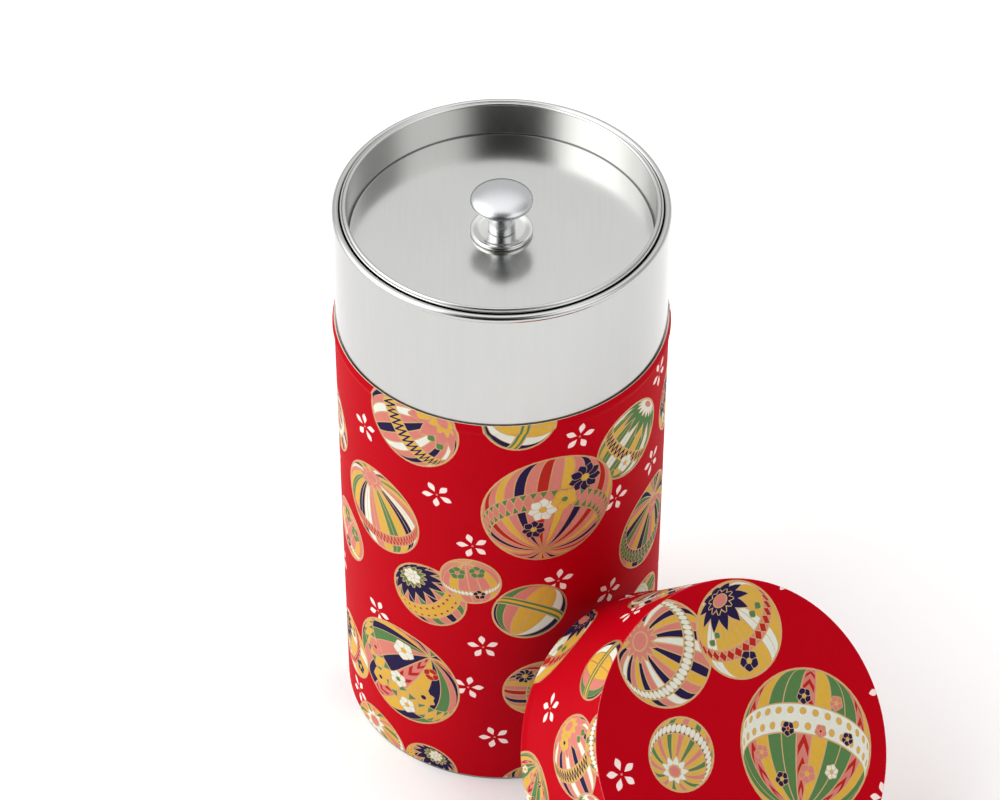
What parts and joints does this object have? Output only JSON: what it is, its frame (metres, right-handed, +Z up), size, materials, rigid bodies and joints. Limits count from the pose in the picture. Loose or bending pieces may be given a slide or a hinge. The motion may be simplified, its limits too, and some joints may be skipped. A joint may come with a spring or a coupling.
{
  "type": "tea caddy",
  "caption": "Round paper-wrapped tin tea caddy, bare neck, recessed inner lid with a knob, and an outer cap leaning against the can.",
  "frame": {"origin": "middle of the can's flat base, on the table", "axes": "+Z up along the can's axis, -Y towards the viewer, the cap leans against the can on the +X -Y side"},
  "size_m": [0.1344, 0.1518, 0.1629],
  "materials": {
    "tinplate": "bright satin tinplate",
    "satin_tin": "satin tinplate with a soft blurred reflection",
    "aluminium": "satin turned aluminium",
    "printed_paper": "matte red paper printed with balls and blossoms in ochre, navy, green, pink and gold"
  },
  "bodies": {
    "can": {"base_plate": "tinplate", "body_tin": "tinplate", "body_paper": "printed_paper", "neck_sleeve": "tinplate"},
    "inner_lid": {"lid_pan": "satin_tin", "knob_collar": "tinplate", "lid_knob": "aluminium"},
    "cap": {"cap_skirt": "tinplate", "cap_top": "tinplate", "cap_side_paper": "printed_paper", "cap_top_paper": "printed_paper"}
  },
  "joints": [
    {"name": "inner_lid_lift", "type": "slide", "parent": "can", "child": "inner_lid", "axis": [0, 0, 1], "range_m": [0, 0.04]},
    {"name": "cap_lift", "type": "slide", "parent": "can", "child": "cap", "axis": [0.0902, -0.106, 0.9903], "range_m": [0, 0.17]}
  ]
}
